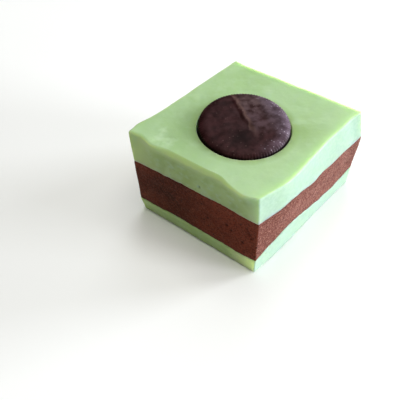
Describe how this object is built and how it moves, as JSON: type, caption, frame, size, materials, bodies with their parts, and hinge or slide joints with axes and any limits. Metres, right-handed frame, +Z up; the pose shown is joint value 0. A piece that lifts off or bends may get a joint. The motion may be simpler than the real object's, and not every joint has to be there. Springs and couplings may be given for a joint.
{
  "type": "layered fudge block",
  "caption": "Hand-cut block of layered fudge, mint above and below chocolate, with a fluted chocolate disc set into its top.",
  "frame": {"origin": "on the flat underside, below the middle of the bounding box", "axes": "+X along the longer cut face from the front corner to the right corner, +Y along the shorter cut face from the front corner to the left corner, +Z up through the layers"},
  "size_m": [0.0592, 0.0517, 0.0378],
  "materials": {
    "mint_fudge": "smooth waxy fudge, faintly translucent",
    "chocolate_fudge": "dense knife-cut fudge, finely granular",
    "dark_chocolate": "moulded chocolate, satin with a soft bloom"
  },
  "bodies": {
    "root": {"bottom_layer": "mint_fudge", "middle_layer": "chocolate_fudge", "top_layer": "mint_fudge", "chocolate_disc": "dark_chocolate"}
  },
  "joints": []
}
